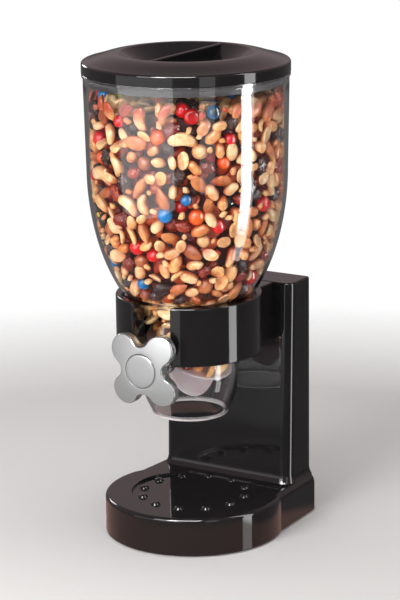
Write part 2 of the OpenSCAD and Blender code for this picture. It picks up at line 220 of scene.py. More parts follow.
def rounded(corners, steps=5):
    """Closed path through (x, y, radius) corners, with each corner rounded by its radius."""
    path = []
    for i, (x, y, radius) in enumerate(corners):
        here = Vector((x, y))
        a = Vector(corners[i - 1][:2]) - here
        b = Vector(corners[(i + 1) % len(corners)][:2]) - here
        if radius <= 0 or a.length == 0 or b.length == 0:
            path.append((x, y))
            continue
        half = a.angle(b) / 2
        back = min(radius / tan(half), a.length * 0.5, b.length * 0.5)
        radius = back * tan(half)
        a.normalize()
        b.normalize()
        centre = here + (a + b).normalized() * radius / sin(half)
        first, last = here + a * back - centre, here + b * back - centre
        turn = atan2(first.x * last.y - first.y * last.x, first.dot(last))
        for k in range(steps + 1):
            c, s = cos(turn * k / steps), sin(turn * k / steps)
            path.append((centre.x + c * first.x - s * first.y, centre.y + s * first.x + c * first.y))
    return path


def revolve(bm, path, segments=144):
    """Turns a closed (r, z) path round the vertical axis."""
    rows = []
    for i in range(segments):
        t = tau * i / segments
        rows.append([bm.verts.new((r * cos(t), r * sin(t), z)) for r, z in path])
    count = len(path)
    for a, b in zip(rows, rows[1:] + rows[:1]):
        for k in range(count):
            m = (k + 1) % count
            if path[k][0] > 1e-6 or path[m][0] > 1e-6:
                bm.faces.new((a[k], b[k], b[m], a[m]))


def on_shaft(path, segments):
    """A bmesh of a path turned round the shaft's axis, with the path's z running to the front."""
    bm = bmesh.new()
    revolve(bm, path, segments)
    bmesh.ops.rotate(bm, verts=bm.verts, cent=(0, 0, 0), matrix=Matrix.Rotation(pi / 2, 3, "X"))
    bmesh.ops.translate(bm, verts=bm.verts, vec=SHAFT)
    return bm


def join(bm, other):
    """Adds another bmesh's geometry to bm, and frees the other."""
    scratch = as_mesh("scratch", other)
    bm.from_mesh(scratch)
    bpy.data.meshes.remove(scratch)


def bezier(a, b, c, d, steps):
    a, b, c, d = (Vector(p) for p in (a, b, c, d))
    points = []
    for i in range(steps + 1):
        t = i / steps
        s = 1 - t
        points.append(tuple(s * s * s * a + 3 * s * s * t * b + 3 * s * t * t * c + t * t * t * d))
    return points


def beside(path, distance):
    """An open path moved to its left by a distance."""
    moved = []
    for i, (x, y) in enumerate(path):
        a, b = path[max(i - 1, 0)], path[min(i + 1, len(path) - 1)]
        v = Vector((b[0] - a[0], b[1] - a[1])).normalized()
        moved.append((x - v.y * distance, y + v.x * distance))
    return moved


def quarter(radius, steps=6):
    """Pairs (inset, drop) along a quarter-round edge, from the wall to the top."""
    return [(radius * (1 - cos(t)), radius * (1 - sin(t)))
            for t in (pi / 2 * i / steps for i in range(steps + 1))]


# ---- materials ----

class Nodes:
    """Short calls for building one node tree."""

    def __init__(self, owner):
        owner.use_nodes = True
        self.owner, self.tree = owner, owner.node_tree
        self.tree.nodes.clear()

    def add(self, kind, inputs=(), **settings):
        node = self.tree.nodes.new("ShaderNode" + kind)
        for key, value in settings.items():
            setattr(node, key, value)
        for key, value in dict(inputs).items():
            if isinstance(value, bpy.types.NodeSocket):
                self.tree.links.new(value, node.inputs[key])
            else:
                node.inputs[key].default_value = value
        return node

    def clamped(self, value):
        return self.math("MINIMUM", self.math("MAXIMUM", value, 0.0), 1.0)

    def math(self, operation, a, b=0.0, c=0.0):
        return self.add("Math", {0: a, 1: b, 2: c}, operation=operation).outputs[0]

    def ramp(self, factor, stops, interpolation="LINEAR"):
        node = self.add("ValToRGB", {0: factor})
        node.color_ramp.interpolation = interpolation
        elements = node.color_ramp.elements
        while len(elements) < len(stops):
            elements.new(0.5)
        for element, (place, colour) in zip(elements, stops):
            element.position = place
            element.color = (*colour, 1) if len(colour) == 3 else colour
        return node.outputs[0]

    def noise(self, scale, detail=3.0, roughness=0.5, vector=None):
        inputs = {"Scale": scale, "Detail": detail, "Roughness": roughness}
        inputs["Vector"] = vector or self.position()
        return self.add("TexNoise", inputs).outputs[0]

    def position(self):
        return self.add("TexCoord").outputs["Object"]

    def vector_math(self, operation, a, b=(0, 0, 0)):
        return self.add("VectorMath", {0: a, 1: b}, operation=operation).outputs["Value"]

    def split(self, vector):
        return self.add("SeparateXYZ", {0: vector}).outputs

    def times(self, a, b):
        return self.mix(1.0, a, b, "MULTIPLY")

    def spread(self, value, amount, start):
        return self.math("MULTIPLY_ADD", value, amount, start)

    def blend(self, factor, a, b):
        return self.add("MixShader", {0: factor, 1: a, 2: b}).outputs[0]

    def bump(self, height, strength, distance=0.001):
        inputs = {"Height": height, "Strength": strength, "Distance": distance}
        return self.add("Bump", inputs).outputs[0]

    def mix(self, factor, a, b, blend_type="MIX"):
        """Colours are sockets or three numbers."""
        a, b = (v if isinstance(v, bpy.types.NodeSocket) else (*v, 1) for v in (a, b))
        inputs = {0: factor, 6: a, 7: b}
        return self.add("Mix", inputs, data_type="RGBA", blend_type=blend_type).outputs[2]

    def finish(self, surface):
        self.add("OutputMaterial", {"Surface": surface})
        return self.owner

    def principled(self, bump, **inputs):
        """Ends the material. The bump is a height, a strength and a distance."""
        named = {key.replace("_", " "): value for key, value in inputs.items()}
        named["Normal"] = self.bump(*bump)
        return self.finish(self.add("BsdfPrincipled", named).outputs[0])


def material(name):
    return Nodes(bpy.data.materials.new(name))


def grey(value):
    return (value, value, value)


def black_gloss():
    """Moulded gloss black: faint flow waviness, dust-fine speckle in the roughness."""
    n = material("black gloss plastic")
    waves = n.noise(22, 2)
    dust = n.noise(900, 2)
    tint = n.ramp(n.noise(14), [(0.3, (0.006, 0.006, 0.007)), (0.7, (0.010, 0.009, 0.009))])
    rough = n.spread(dust, 0.05, 0.035)
    return n.principled((waves, 0.06, 0.002), Base_Color=tint, Roughness=rough, IOR=1.5)


def black_matte():
    n = material("black satin plastic")
    grain = n.noise(1600, 3)
    rough = n.spread(grain, 0.15, 0.38)
    return n.principled((grain, 0.25, 0.0004), Base_Color=(0.022, 0.022, 0.024, 1), Roughness=rough)


def clear_plastic():
    """Clear moulded bell whose lip is lightened by painted light: a pale diffuse layer stands in for the
    light its thick edge catches. Light for shadows and bounce passes straight through.
    """
    n = material("clear plastic")
    waves = n.noise(16, 2)
    glass = n.add("BsdfGlass", {"Color": (0.985, 0.985, 0.985, 1), "Roughness": 0.0,
                                          "IOR": 1.46, "Normal": n.bump(waves, 0.05, 0.002)}).outputs[0]
    # Painted light: a pale diffuse layer near the mouth that lightens the lip as if its thick edge caught
    # light
    milky = n.add("BsdfDiffuse", {"Color": (0.95, 0.90, 0.91, 1)}).outputs[0]
    height = n.split(n.position())["Z"]
    above = n.math("DIVIDE", n.math("SUBTRACT", height, MOUTH_Z * MM), 6 * MM)
    lip = n.ramp(above, [(0.12, grey(0.44)), (0.34, grey(0))])
    glass = n.blend(lip, glass, milky)
    clear = n.add("BsdfTransparent", {"Color": (0.96, 0.96, 0.96, 1)}).outputs[0]
    path = n.add("LightPath")
    through = n.math("MAXIMUM", path.outputs["Is Shadow Ray"], path.outputs["Is Diffuse Ray"])
    return n.finish(n.blend(through, glass, clear))


def silicone():
    """Milky soft silicone: light passes into it."""
    n = material("milky silicone")
    cloud = n.ramp(n.noise(60), [(0.3, (0.86, 0.75, 0.78)), (0.7, (0.92, 0.84, 0.87))])
    rough = n.spread(n.noise(500), 0.1, 0.38)
    return n.principled((n.noise(900), 0.12, 0.0004), Base_Color=cloud, Roughness=rough,
                        Subsurface_Weight=0.35, Subsurface_Scale=0.004, Transmission_Weight=0.1)


def white_plastic():
    n = material("natural white plastic")
    tint = n.ramp(n.noise(40), [(0.3, (0.80, 0.80, 0.77)), (0.7, (0.86, 0.86, 0.84))])
    return n.principled((n.noise(800), 0.15, 0.0004), Base_Color=tint, Roughness=0.42)


def satin_silver():
    """Plated satin silver: fine bead-blast grain on the faces, polished on worn, steep edges."""
    n = material("satin silver")
    grain = n.noise(2600, 2)
    normal = n.add("NewGeometry").outputs["Normal"]
    facing = n.vector_math("DOT_PRODUCT", normal, (0, -1, 0))
    edge = n.ramp(facing, [(0.80, grey(1)), (0.92, grey(0))])
    rough = n.mix(edge, grey(0.42), grey(0.10))
    tint = n.mix(n.noise(30), (0.43, 0.44, 0.44), (0.47, 0.48, 0.48))
    return n.principled((grain, 0.08, 0.0003), Base_Color=tint, Metallic=0.75, Roughness=rough)


def steel(name, colour, roughness):
    n = material(name)
    streaks = n.add("Mapping", {"Vector": n.position(), "Scale": (9, 1, 9)}).outputs[0]
    brushed = n.noise(700, 2, vector=streaks)
    tint = n.mix(brushed, colour, tuple(min(1, c * 1.15) for c in colour))
    rough = n.spread(brushed, 0.15, roughness)
    return n.principled((brushed, 0.1, 0.0003), Base_Color=tint, Metallic=1.0, Roughness=rough)


def rubber(name, colour):
    n = material(name)
    grain = n.noise(1200, 4)
    tint = n.mix(grain, colour, tuple(c * 1.4 for c in colour))
    return n.principled((grain, 0.4, 0.0005), Base_Color=tint, Roughness=0.75)


def depth_shade(n):
    """Painted darkening of the food: 0 at the hopper's wall, 1 well behind it or just under the lid,
    and 0 again on the heap's top away from the wall, which is only seen with the lid off."""
    def share(value, start, run):
        """0 where the value is at the start, 1 a run further."""
        return n.math("DIVIDE", n.math("SUBTRACT", value, start), run)

    x, y, z = n.split(n.position())
    across = n.add("CombineXYZ", {0: x, 1: n.math("SUBTRACT", y, AXIS_Y * MM)}).outputs[0]
    below = n.math("DIVIDE", n.math("SUBTRACT", BELLY_Z * MM, z), BELL_DROP * MM)
    below = n.math("MINIMUM", n.clamped(below), 0.735)
    wall = n.math("SQRT", n.math("SUBTRACT", 1.0, n.math("MULTIPLY", below, below)))
    depth = n.math("SUBTRACT", n.math("MULTIPLY", wall, BELLY_R * MM), n.vector_math("LENGTH", across))
    in_bell = n.math("GREATER_THAN", z, SEAT_Z * MM)
    inside = n.clamped(share(depth, 3.4 * MM, 6.5 * MM))
    under_lid = n.clamped(share(z, (FILL_Z - 24) * MM, 15 * MM))
    shade = n.math("ABSOLUTE", n.math("SUBTRACT", inside, under_lid))
    return n.math("MULTIPLY", shade, in_bell)


def food(name, stops, roughness, blotch, bump_scale, bump, coat=0.0, subsurface=0.15, steps="LINEAR"):
    """Food whose colour changes from piece to piece, with roasted blotches and a fine skin."""
    n = material(name)
    island = n.add("NewGeometry").outputs["Random Per Island"]
    colour = n.ramp(island, stops, steps)
    # Painted shade: food deep behind the hopper's wall or just under the lid turns dark red-brown
    colour = n.mix(depth_shade(n), colour, n.times(colour, (0.55, 0.12, 0.05)))
    patches = n.ramp(n.noise(180, 3), [(0.42, grey(0)), (0.68, grey(1))])
    mixed = n.mix(n.math("MULTIPLY", patches, 0.8), colour, n.times(colour, blotch))
    skin = n.noise(bump_scale, 4, 0.6)
    return n.principled((skin, bump, 0.0006), Base_Color=mixed, Roughness=roughness, Coat_Weight=coat,
                        Subsurface_Weight=subsurface, Subsurface_Scale=0.0015)


MATERIALS = {
    "black_gloss": black_gloss(),
    "black_matte": black_matte(),
    "clear_plastic": clear_plastic(),
    "silicone": silicone(),
    "white_plastic": white_plastic(),
    "satin_silver": satin_silver(),
    "shaft_steel": steel("drawn steel", (0.56, 0.56, 0.57), 0.22),
    "screw_steel": steel("zinc plated steel", (0.50, 0.51, 0.53), 0.30),
    "foot_rubber": rubber("foot rubber", (0.03, 0.03, 0.03)),
    "seal_rubber": rubber("seal rubber", (0.035, 0.035, 0.037)),
}


# ---- base ----

def base_outline(inset):
    """Round front, hollow corner where it meets the tapered rear part, and rounded rear corners."""
    lean = REAR_TAPER / (BASE_BACK - REAR_CORNER - BASE_Y)
    slant = hypot(1, lean)
    side = REAR_HALF + REAR_TAPER + CONCAVE_R * slant
    reach = BASE_R + CONCAVE_R
    y = (side * lean + sqrt((side * lean) ** 2 - slant ** 2 * (side ** 2 - reach ** 2))) / slant ** 2
    x = side - lean * y
    meet, turn = degrees(atan2(y, x)), degrees(atan(lean))
    rear = (REAR_HALF - REAR_CORNER, BASE_BACK - REAR_CORNER)
    return outline([((0, BASE_Y), BASE_R, -180 - meet, meet, 120),
                    ((x, BASE_Y + y), CONCAVE_R, 180 + meet, 180 + turn, 6),
                    (rear, REAR_CORNER, turn, 90, 14),
                    ((-rear[0], rear[1]), REAR_CORNER, 90, 180 - turn, 14),
                    ((-x, BASE_Y + y), CONCAVE_R, -turn, -meet, 6)], inset)


def base_edge(step):
    """One loop of the base's top edge: tight round the front, a deep roll round the rear part."""
    inset, drop = quarter(1.0, 10)[step]
    front, rear = base_outline(inset * 3.2), base_outline(inset * 4.6)
    loop = []
    for a, b in zip(front, rear):
        share = min(1.0, max(0.0, (a[1] - BASE_Y - 14) / 16))
        share = share * share * (3 - 2 * share)
        height = BASE_TOP - drop * (3.2 + 5.3 * share)
        loop.append(Vector((a[0] + (b[0] - a[0]) * share, a[1] + (b[1] - a[1]) * share, height)))
    return loop


def polar(radius, angle, z):
    return Vector((radius * cos(angle), radius * sin(angle), z))


def at_z(points, z):
    return [Vector((x, y, z)) for x, y in points]


def dish_circle(rim, radius, z):
    """A circle round the dish's centre, with a point in the direction of each point of the rim."""
    angles = (atan2(y - BASE_Y, x) for x, y in rim)
    return [Vector((radius * cos(a), BASE_Y + radius * sin(a), z)) for a in angles]


def base_body():
    bm = bmesh.new()
    ceiling = BASE_TOP - WALL - DISH_DEPTH
    loops = [at_z(base_outline(WALL), ceiling), at_z(base_outline(WALL), BASE_LOW)]
    loops += [at_z(base_outline(inset), BASE_LOW + drop) for inset, drop in reversed(quarter(0.8, 4))]
    loops += [base_edge(step) for step in range(11)]
    top = [(p.x, p.y) for p in base_edge(10)]
    middle = sum(x for x, y in top) / len(top), BASE_Y
    top = [(middle[0] + (x - middle[0]) * 0.995, middle[1] + (y - middle[1]) * 0.995) for x, y in top]
    loops.append(at_z(top, BASE_TOP))
    floor_z = BASE_TOP - DISH_DEPTH
    edge = quarter(0.9, 5)
    loops += [dish_circle(top, DISH_R + inset, BASE_TOP - drop) for inset, drop in reversed(edge)]
    loops += [dish_circle(top, DISH_R - inset, floor_z + drop) for inset, drop in edge]
    loops.append(dish_circle(top, DISH_R * 0.5, floor_z))
    loft(bm, loops)
    for i in range(PIPS):
        angle = (i + 0.5) * 2 * pi / PIPS
        place = Vector((PIP_RING * cos(angle), BASE_Y + PIP_RING * sin(angle), floor_z))
        profile = rounded([(0, -0.5, 0), (4.3, -0.5, 0), (4.2, 0.3, 0.4), (2.7, 2.3, 1.4), (0, 2.45, 0)], 5)
        pip = bmesh.new()
        revolve(pip, profile, 28)
        bmesh.ops.translate(pip, verts=pip.verts, vec=place)
        join(bm, pip)
    weighted(mesh_object("base_body", bm, "stand", "black_gloss", ["base_shell"]))


# ---- column ----

def front_at(z):
    return COLUMN_FRONT - COLUMN_LEAN * (SEAT_Z - z) / (SEAT_Z - COLUMN_LOW)


def column_plan(side, end, corner, steps, seam, inset):
    """Plan of one half of the column, from its straight seam to its end with two rounded corners.
    The side is -1 for the front half and 1 for the rear one."""
    x, y = side * (COLUMN_HALF - corner), end - side * corner
    half = side * (COLUMN_HALF - inset)
    start = 90 - 90 * side
    return [(-half, seam), (half, seam)] + outline([((x, y), corner, start, start + 90, steps),
                                                    ((-x, y), corner, start + 90, start + 180, steps)], inset)


def column_loops(plan):
    """Loops from the hollow's ceiling, down inside, round the foot and up to the top."""
    low, top, edge = COLUMN_LOW, SEAT_Z, 1.6
    loops = [at_z(plan(top - WALL, WALL, WALL), top - WALL), at_z(plan(low, WALL, WALL), low)]
    levels = [(-FOOT_FLARE * (1 - k / 6) ** 1.6, low + FOOT_BAND * (k / 6)) for k in range(7)]
    levels += [(0, low + FOOT_BAND + (top - edge - low - FOOT_BAND) * k / 7) for k in range(1, 7)]
    levels += [(inset, top - drop) for inset, drop in quarter(edge, 6)]
    return loops + [at_z(plan(z, inset, 0), z) for inset, z in levels]


def column_half(name, node, side, end_at, corner, steps, seam):
    def plan(z, inset, inside):
        return column_plan(side, end_at(z), corner, steps, seam + side * inside, inset)

    bm = bmesh.new()
    loft(bm, column_loops(plan))
    return mesh_object(name, bm, "stand", "black_gloss", [node])


def column():
    weighted(column_half("column_body", "column_shell", -1, front_at, FRONT_CORNER, 12, SEAM_Y - 0.25))
    back = column_half("column_back", "column_rear_cover", 1, lambda z: COLUMN_BACK, BACK_CORNER, 10, SEAM_Y)
    sink_screws(back)
    weighted(back)


def sink_screws(piece):
    """Cuts the round recess for each rear screw, at the screws' own places."""
    bm = bmesh.new()
    radius = 4.2 * MM
    for c in island_centres(frame["nodes"]["rear_cover_screws"]):
        place = Matrix.Translation((c.x, COLUMN_BACK * MM + AXIS_Y * MM, c.z))
        bmesh.ops.create_cone(bm, cap_ends=True, segments=40, radius1=radius, radius2=radius,
                              depth=2.7 * MM, matrix=place @ Matrix.Rotation(pi / 2, 4, "X"))
    cutter = link("recess_cutter", as_mesh("recess cutter", bm))
    modifier = piece.modifiers.new("cut", "BOOLEAN")
    modifier.operation, modifier.solver, modifier.object = "DIFFERENCE", "EXACT", cutter
    bpy.context.view_layer.update()
    seen = piece.evaluated_get(bpy.context.evaluated_depsgraph_get())
    old, piece.data = piece.data, bpy.data.meshes.new_from_object(seen)
    piece.modifiers.remove(modifier)
    bpy.data.meshes.remove(old)
    bpy.data.objects.remove(cutter)


def island_centres(node):
    """Centre of each separate solid of a CAD node, in metres."""
    bm = bmesh.new()
    bm.from_mesh(node.data)
    bmesh.ops.remove_doubles(bm, verts=bm.verts, dist=1e-6)
    seen, centres = set(), []
    for vert in bm.verts:
        if vert in seen:
            continue
        seen.add(vert)
        group = [vert]
        for v in group:
            found = [w for edge in v.link_edges if (w := edge.other_vert(v)) not in seen]
            seen.update(found)
            group += found
        spans = [[v.co[i] for v in group] for i in range(3)]
        centres.append(Vector((min(values) + max(values)) / 2 for values in spans))
    bm.free()
    return centres


# ---- collar ----

def collar_section(inset):
    """Section of the ring from its bore to its outside, with a cone on which the bell sits."""
    low, top, bore, out = COLLAR_LOW, SEAT_Z, COLLAR_BORE, COLLAR_R
    corners = [(bore + inset, low + inset, 0.8), (out - inset, low + inset, 1.2),
               (out - inset, top - inset, 1.5), (SHOULDER_R - 0.3 + inset * 0.5, top - inset, 0.4),
               (bore + inset, top - 7.4 - inset, 0.8)]
    return rounded(corners, 5)


def collar_ring(bm):
    """Sweeps the section round from one side of the slot to the other. The ends are flat and
    parallel, with a rounded edge."""
    rounding, turns = 1.4, 110
    ends = quarter(rounding, 5)
    stations = [(SLOT_HALF + drop, inset, 0.0) for inset, drop in reversed(ends)]
    stations += [(SLOT_HALF + rounding, 0.0, k / turns) for k in range(1, turns)]
    stations += [(SLOT_HALF + drop, inset, 1.0) for inset, drop in ends]
    loops = []
    for x_end, inset, share in stations:
        loop = []
        for radius, z in collar_section(inset):
            start = asin(min(1, x_end / radius))
            angle = start + (tau - 2 * start) * share
            loop.append(Vector((radius * sin(angle), -radius * cos(angle), z)))
        loops.append(loop)
    loft(bm, loops)


def box_loops(low, high, corner, rounding=1.0):
    """Loops of a block with rounded upright edges and rounded ends."""
    (x0, y0, z0), (x1, y1, z1) = low, high

    def plan(inset):
        r = max(corner, inset + 0.05)
        return outline([((x1 - r, y0 + r), r, -90, 0, 4), ((x1 - r, y1 - r), r, 0, 90, 4),
                        ((x0 + r, y1 - r), r, 90, 180, 4), ((x0 + r, y0 + r), r, 180, 270, 4)], inset)

    loops = [at_z(plan(i), z0 + d) for i, d in reversed(quarter(rounding, 4))]
    loops += [at_z(plan(i), z1 - d) for i, d in quarter(rounding, 4)]
    return loops


def collar_body():
    bm = bmesh.new()
    collar_ring(bm)
    half = 45.0
    for side in (-1, 1):
        x0, x1 = sorted((side * 33.0, side * half))
        low, high = (x0, 36.0, COLLAR_LOW), (x1, front_at(SEAT_Z) - 0.1, SEAT_Z)
        loft(bm, box_loops(low, high, 1.0))
    loft(bm, box_loops((-34, 56.0, COLLAR_LOW + 0.02), (34, front_at(SEAT_Z) - 0.1, SEAT_Z - 0.02), 0.6))
    weighted(mesh_object("collar_body", bm, "stand", "black_gloss", ["collar"]))


# ---- hopper ----

def bell_radius(z):
    return BELLY_R * sqrt(1 - ((BELLY_Z - z) / BELL_DROP) ** 2)


def hopper_line():
    """Outer line of the hopper, from the spout's mouth up to the rim."""
    run = NECK_LOW - MOUTH_Z
    inward = NECK_R - MOUTH_R
    bend = (inward ** 2 + run ** 2) / (2 * inward)
    levels = (MOUTH_Z + run * i / 16 for i in range(17))
    line = [(NECK_R - bend + sqrt(bend ** 2 - (NECK_LOW - z) ** 2), z) for z in levels]
    line += bezier((NECK_R, NECK_TOP), (NECK_R, SEAT_Z - 4.5), (SHOULDER_R - 4, SEAT_Z - 4.2),
                   (SHOULDER_R, SHOULDER_Z), 12)
    levels = (SHOULDER_Z + (BELLY_Z - SHOULDER_Z) * i / 36 for i in range(1, 37))
    line += [(bell_radius(z), z) for z in levels]
    line += [(BELLY_R + (RIM_R - BELLY_R) * i / 8, BELLY_Z + (RIM_Z - BELLY_Z) * i / 8) for i in range(1, 9)]
    return line


def hopper_body():
    line = hopper_line()
    inner = beside(line, GLASS_T)
    bead = rounded([(RIM_R, RIM_Z - 3.4, 0.4), (RIM_R + 0.9, RIM_Z - 2.6, 0.5), (RIM_R + 0.9, RIM_Z, 0.7),
                    (inner[-1][0], RIM_Z, 0.6)], 4)
    lip = arc((MOUTH_R - 0.2, MOUTH_Z + 1.75), 1.9, 93, 381, 20)
    inner_up = [p for p in inner if MOUTH_Z + 4 < p[1] < RIM_Z - 1]
    outer_up = [p for p in line if MOUTH_Z + 2.9 < p[1] < RIM_Z - 4]
    path = lip + outer_up + bead + inner_up[::-1]
    bm = bmesh.new()
    revolve(bm, path, 160)
    tube = [(HUB_BORE, NECK_R + 0.05, 0.2), (BOSS_R, NECK_R - 1.6, 0.2), (BOSS_R, BOSS_END, 0.5),
            (HUB_BORE, BOSS_END, 0.3)]
    join(bm, on_shaft(rounded(tube, 4), 56))
    mesh_object("hopper_bell", bm, "hopper", "clear_plastic", ["hopper"])


# ---- lid ----

def lid_cover():
    side_top = CROWN_Z - 6.7
    floor_z = CROWN_Z - GRIP_DEPTH
    dome = bezier((LID_R - 1.9, side_top + 0.2), (LID_R - 12, side_top + 2.8), (GRIP_R + 12, CROWN_Z - 0.35),
                  (GRIP_R + 3.2, CROWN_Z), 14)
    edge = arc((LID_R - 2.1, side_top - 1.8), 2.1, 0, 74, 6)
    mouth = arc((GRIP_R + 2.4, CROWN_Z - 4.0), 4.0, 90, 126, 6)
    toe = arc((GRIP_R - 17, floor_z + 6.0), 6.0, -54, -90, 6)
    top = [(LID_R - 0.5, LID_LOW), (LID_R, LID_LOW + 0.5)] + edge + dome + mouth + toe + [(0, floor_z)]
    under = [(0, floor_z - WALL), (GRIP_R - 14, floor_z - WALL), (GRIP_R + 1, CROWN_Z - WALL - 1.6),
             (GRIP_R + 12, CROWN_Z - WALL - 0.6), (LID_R - 10, side_top - WALL + 2.2),
             (LID_R - WALL, side_top - WALL), (LID_R - WALL, LID_LOW)]
    bm = bmesh.new()
    revolve(bm, top + under, 160)
    half = GRIP_BAR / 2
    reach = GRIP_R + 0.6
    bar_low, bar_top = floor_z - 0.5, CROWN_Z - 0.3
    foot = half + 0.25
    section = rounded([(-foot, bar_low, 0), (foot, bar_low, 0), (half, bar_top, 1.2), (-half, bar_top, 1.2)])
    steps = 40
    places = [-reach + 2 * reach * k / steps for k in range(steps + 1)]
    loft(bm, [[Vector((x, y, z)) for x, z in section] for y in places])
    weighted(mesh_object("lid_cover", bm, "lid", "black_gloss", ["lid_shell"]))


# ---- knob ----

def knob_arcs():
    """Four lobes on the diagonals, joined by hollows that meet them tangentially."""
    reach = KNOB_R - LOBE_R
    root2 = sqrt(2)
    hollow = ((reach ** 2 + WAIST_R ** 2 - root2 * reach * WAIST_R - LOBE_R ** 2)
              / (2 * LOBE_R - 2 * WAIST_R + root2 * reach))
    far = WAIST_R + hollow
    lobe = Vector((reach / root2, reach / root2))
    side = Vector((0, far))
    away = degrees(atan2(side.y - lobe.y, side.x - lobe.x))
    arcs = []
    for i in range(4):
        turn = degrees(KNOB_TURN) + 90 * i
        angle = radians(turn)
        c, s = cos(angle), sin(angle)
        lobe_at = (lobe.x * c - lobe.y * s, lobe.x * s + lobe.y * c)
        side_at = (side.x * c - side.y * s, side.x * s + side.y * c)
        arcs.append((lobe_at, LOBE_R, turn + 90 - away, turn + away, 22))
        arcs.append((side_at, hollow, turn + away + 180, turn + 360 - away, 14))
    return arcs


def knob_face(x, y):
    """Height of the knob's front face: the lobes sweep back from the middle."""
    beyond = max(0.0, hypot(x, y) - CAP_R - 1.5)
    run = KNOB_R - CAP_R - 1.5
    return KNOB_FRONT - 1.1 - (KNOB_SWEEP - 1.1) * (beyond / run) ** 1.3


def knob_point(x, y, depth):
    """From the knob's own plane to the hopper's frame: depth is measured forwards from the axis."""
    return Vector((x, -depth, y + SHAFT_Z))


def knob_body():
    arcs = knob_arcs()
    bm = bmesh.new()
    edge, back_edge = 1.1, 1.0
    back = KNOB_FRONT - KNOB_SWEEP - KNOB_T
    loops = []
    for inset, drop in reversed(quarter(back_edge, 4)):
        loops.append([knob_point(x, y, back + drop) for x, y in outline(arcs, inset)])
    for inset, drop in quarter(edge, 8):
        loops.append([knob_point(x, y, knob_face(x, y) - drop) for x, y in outline(arcs, inset)])
    inner = outline(arcs, edge)
    rim = CAP_R + 0.5
    ring = [(cos(a), sin(a)) for a in (atan2(y, x) for x, y in inner)]
    for k in range(1, 11):
        t = k / 10
        path = [(x + (rim * c - x) * t, y + (rim * s - y) * t) for (x, y), (c, s) in zip(inner, ring)]
        loops.append([knob_point(x, y, knob_face(x, y)) for x, y in path])
    for radius, depth in ((CAP_R + 0.15, -0.4), (CAP_R + 0.1, -1.6), (CAP_R + 0.05, -CAP_T)):
        loops.append([knob_point(radius * c, radius * s, KNOB_FRONT - 1.1 + depth) for c, s in ring])
    loft(bm, loops)
    bore, hub_r = 5.2, 11.0
    hub = [(bore, HUB_BACK, 0.3), (hub_r, HUB_BACK, 0.6), (hub_r, back + 0.6, 0), (bore, back + 0.6, 0)]
    join(bm, on_shaft(rounded(hub, 4), 56))
    mesh_object("knob_body", bm, "knob", "satin_silver", ["knob"])


def knob_badge():
    front = KNOB_FRONT
    path = [(0, front), (6, front - 0.05), (11.0, front - 0.22)]
    path += arc((CAP_R - 1.2, front - 1.5), 1.15, 78, 0, 5)
    path += [(CAP_R - 0.05, front - CAP_T), (5, front - CAP_T), (5, front - 1.2), (0, front - 1.2)]
    mesh_object("knob_badge", on_shaft(path[::-1], 96), "knob", "satin_silver", ["knob_cap"])


# ---- paddle wheel ----

def vane(bm, angle):
    """One half-disc vane, thicker at its root, with a rounded rim."""
    rows, columns = 33, 16
    half_y = VANE_HALF
    root = SLEEVE_R - 1.0
    turn = Matrix.Rotation(-angle, 3, "Y")
    verts = {}
    for side in (-1, 1):
        for i in range(rows):
            y = -half_y + 2 * half_y * i / (rows - 1)
            reach = sqrt(WHEEL_R ** 2 - y ** 2)
            for k in range(columns):
                s = 1 - (1 - k / (columns - 1)) ** 1.5
                x = root + (reach - root) * s
                inside = min(WHEEL_R - hypot(x, y), half_y - abs(y))
                soft = sqrt(max(0.0, 1 - (1 - min(inside / 0.9, 1)) ** 2))
                thick = (VANE_T + 0.8 * exp(-(x - root) / 3)) / 2 * (0.72 + 0.28 * (1 - s)) * soft
                verts[side, i, k] = bm.verts.new(turn @ Vector((x, y, side * thick)) + SHAFT)
    for side in (-1, 1):
        for i in range(rows - 1):
            for k in range(columns - 1):
                corners = ((i, k), (i + 1, k), (i + 1, k + 1), (i, k + 1))
                bm.faces.new([verts[side, *corner] for corner in corners])
    for i in range(rows - 1):
        bm.faces.new([verts[-1, i, 0], verts[-1, i + 1, 0], verts[1, i + 1, 0], verts[1, i, 0]])


def paddle_vanes():
    bm = bmesh.new()
    for i in range(VANES):
        vane(bm, VANE_ANGLE + tau * i / VANES)
    sleeve = [(HUB_BORE, -HUB_HALF, 0.2), (SLEEVE_R, -HUB_HALF, 0.7), (SLEEVE_R, HUB_HALF, 0.7),
              (HUB_BORE, HUB_HALF, 0.2)]
    join(bm, on_shaft(rounded(sleeve, 4), 64))
    mesh_object("paddle_vanes", bm, "paddle_wheel", "silicone", ["wheel_vanes"])


# ---- dry food in the hopper ----

def shaped(maker, seed):
    """Points and triangles of a small ball whose points are moved by a maker of one kind of food."""
    detail = {crumb: 2, raisin: 4}.get(maker, 3)
    bm = bmesh.new()
    bmesh.ops.create_icosphere(bm, subdivisions=detail, radius=1)
    bm.verts.ensure_lookup_table()
    points = [Vector(maker(v.co.copy(), seed)) for v in bm.verts]
    faces = [tuple(v.index for v in f.verts) for f in bm.faces]
    bm.free()
    return points, faces


def lumpy(p, seed, amount, scale=1.0):
    return 1 + amount * noise.noise(p * scale + Vector((seed * 7.1, seed * 3.3, seed)))


def peanut(p, seed):
    waist = 1 - 0.13 * exp(-(p.x / 0.32) ** 2)
    seam = 1 - 0.10 * exp(-(p.y / 0.10) ** 2)
    k = lumpy(p, seed, 0.12, 1.6)
    return (p.x * 7.4 * k, p.y * 4.8 * waist * k, p.z * 4.5 * waist * seam * k)


def peanut_half(p, seed):
    """Flat inner face upwards, with its rim and the hollow that runs down its middle."""
    k = lumpy(p, seed, 0.10, 1.6)
    across = hypot(p.x, p.y)
    z = p.z * 3.9 if p.z < 0 else p.z * 0.5
    if p.z > 0:
        z -= 1.3 * exp(-(p.y / 0.30) ** 2) * max(0.0, 0.8 - across)
        z += 0.35 * exp(-((across - 0.86) / 0.1) ** 2)
    return (p.x * 7.5 * k, p.y * 5.1 * k, z * k + 1.2)


